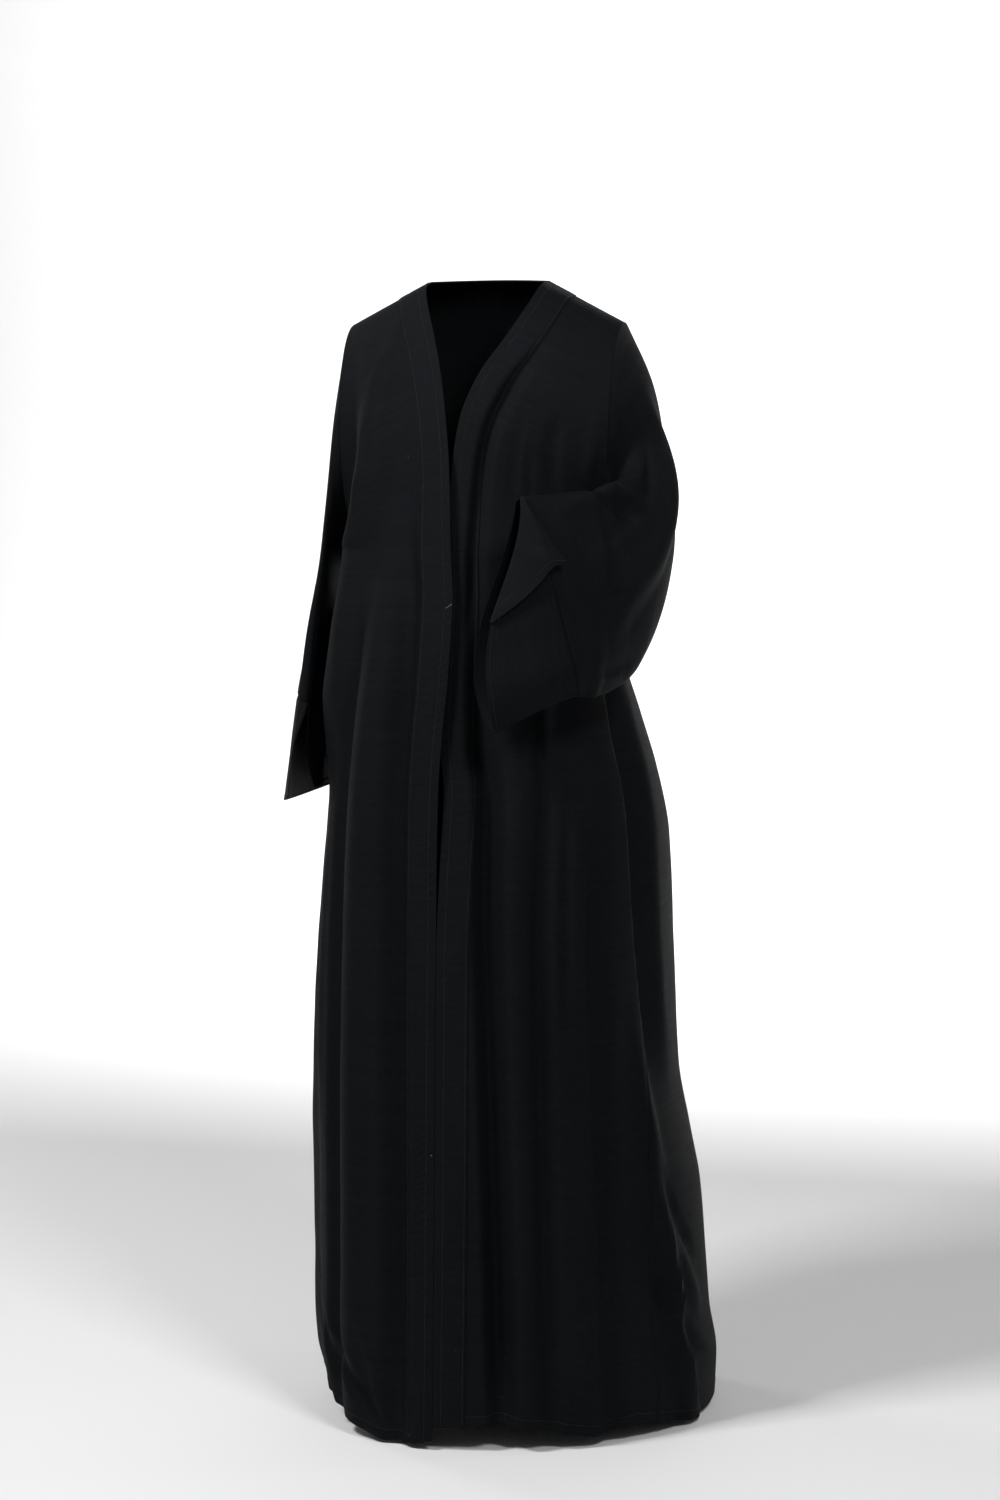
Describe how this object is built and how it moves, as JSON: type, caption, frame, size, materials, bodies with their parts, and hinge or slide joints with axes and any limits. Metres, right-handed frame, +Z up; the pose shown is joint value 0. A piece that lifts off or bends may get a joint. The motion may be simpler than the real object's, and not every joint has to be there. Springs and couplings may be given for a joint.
{
  "type": "open front abaya",
  "caption": "Full-length black open-front abaya with facing bands down the front, loose slit-cuff sleeves and a gathered ankle-length skirt, shaped as worn with the left arm bent.",
  "frame": {"origin": "base of the neck, midway between the neck ends of the two shoulder seams, where the wearer's shoulders hold the cloth", "axes": "+Z up, -Y the way the front faces, +X towards the wearer's left"},
  "size_m": [0.5522, 0.526, 1.4473],
  "materials": {
    "cloth": "matte",
    "facing": "matte"
  },
  "bodies": {
    "root": {"right_front": "cloth", "left_front": "cloth", "back": "cloth", "right_sleeve": "cloth", "left_sleeve": "cloth", "right_cuff": "cloth", "left_cuff": "cloth", "right_front_band": "facing", "left_front_band": "facing", "neck_band": "facing"}
  },
  "joints": []
}
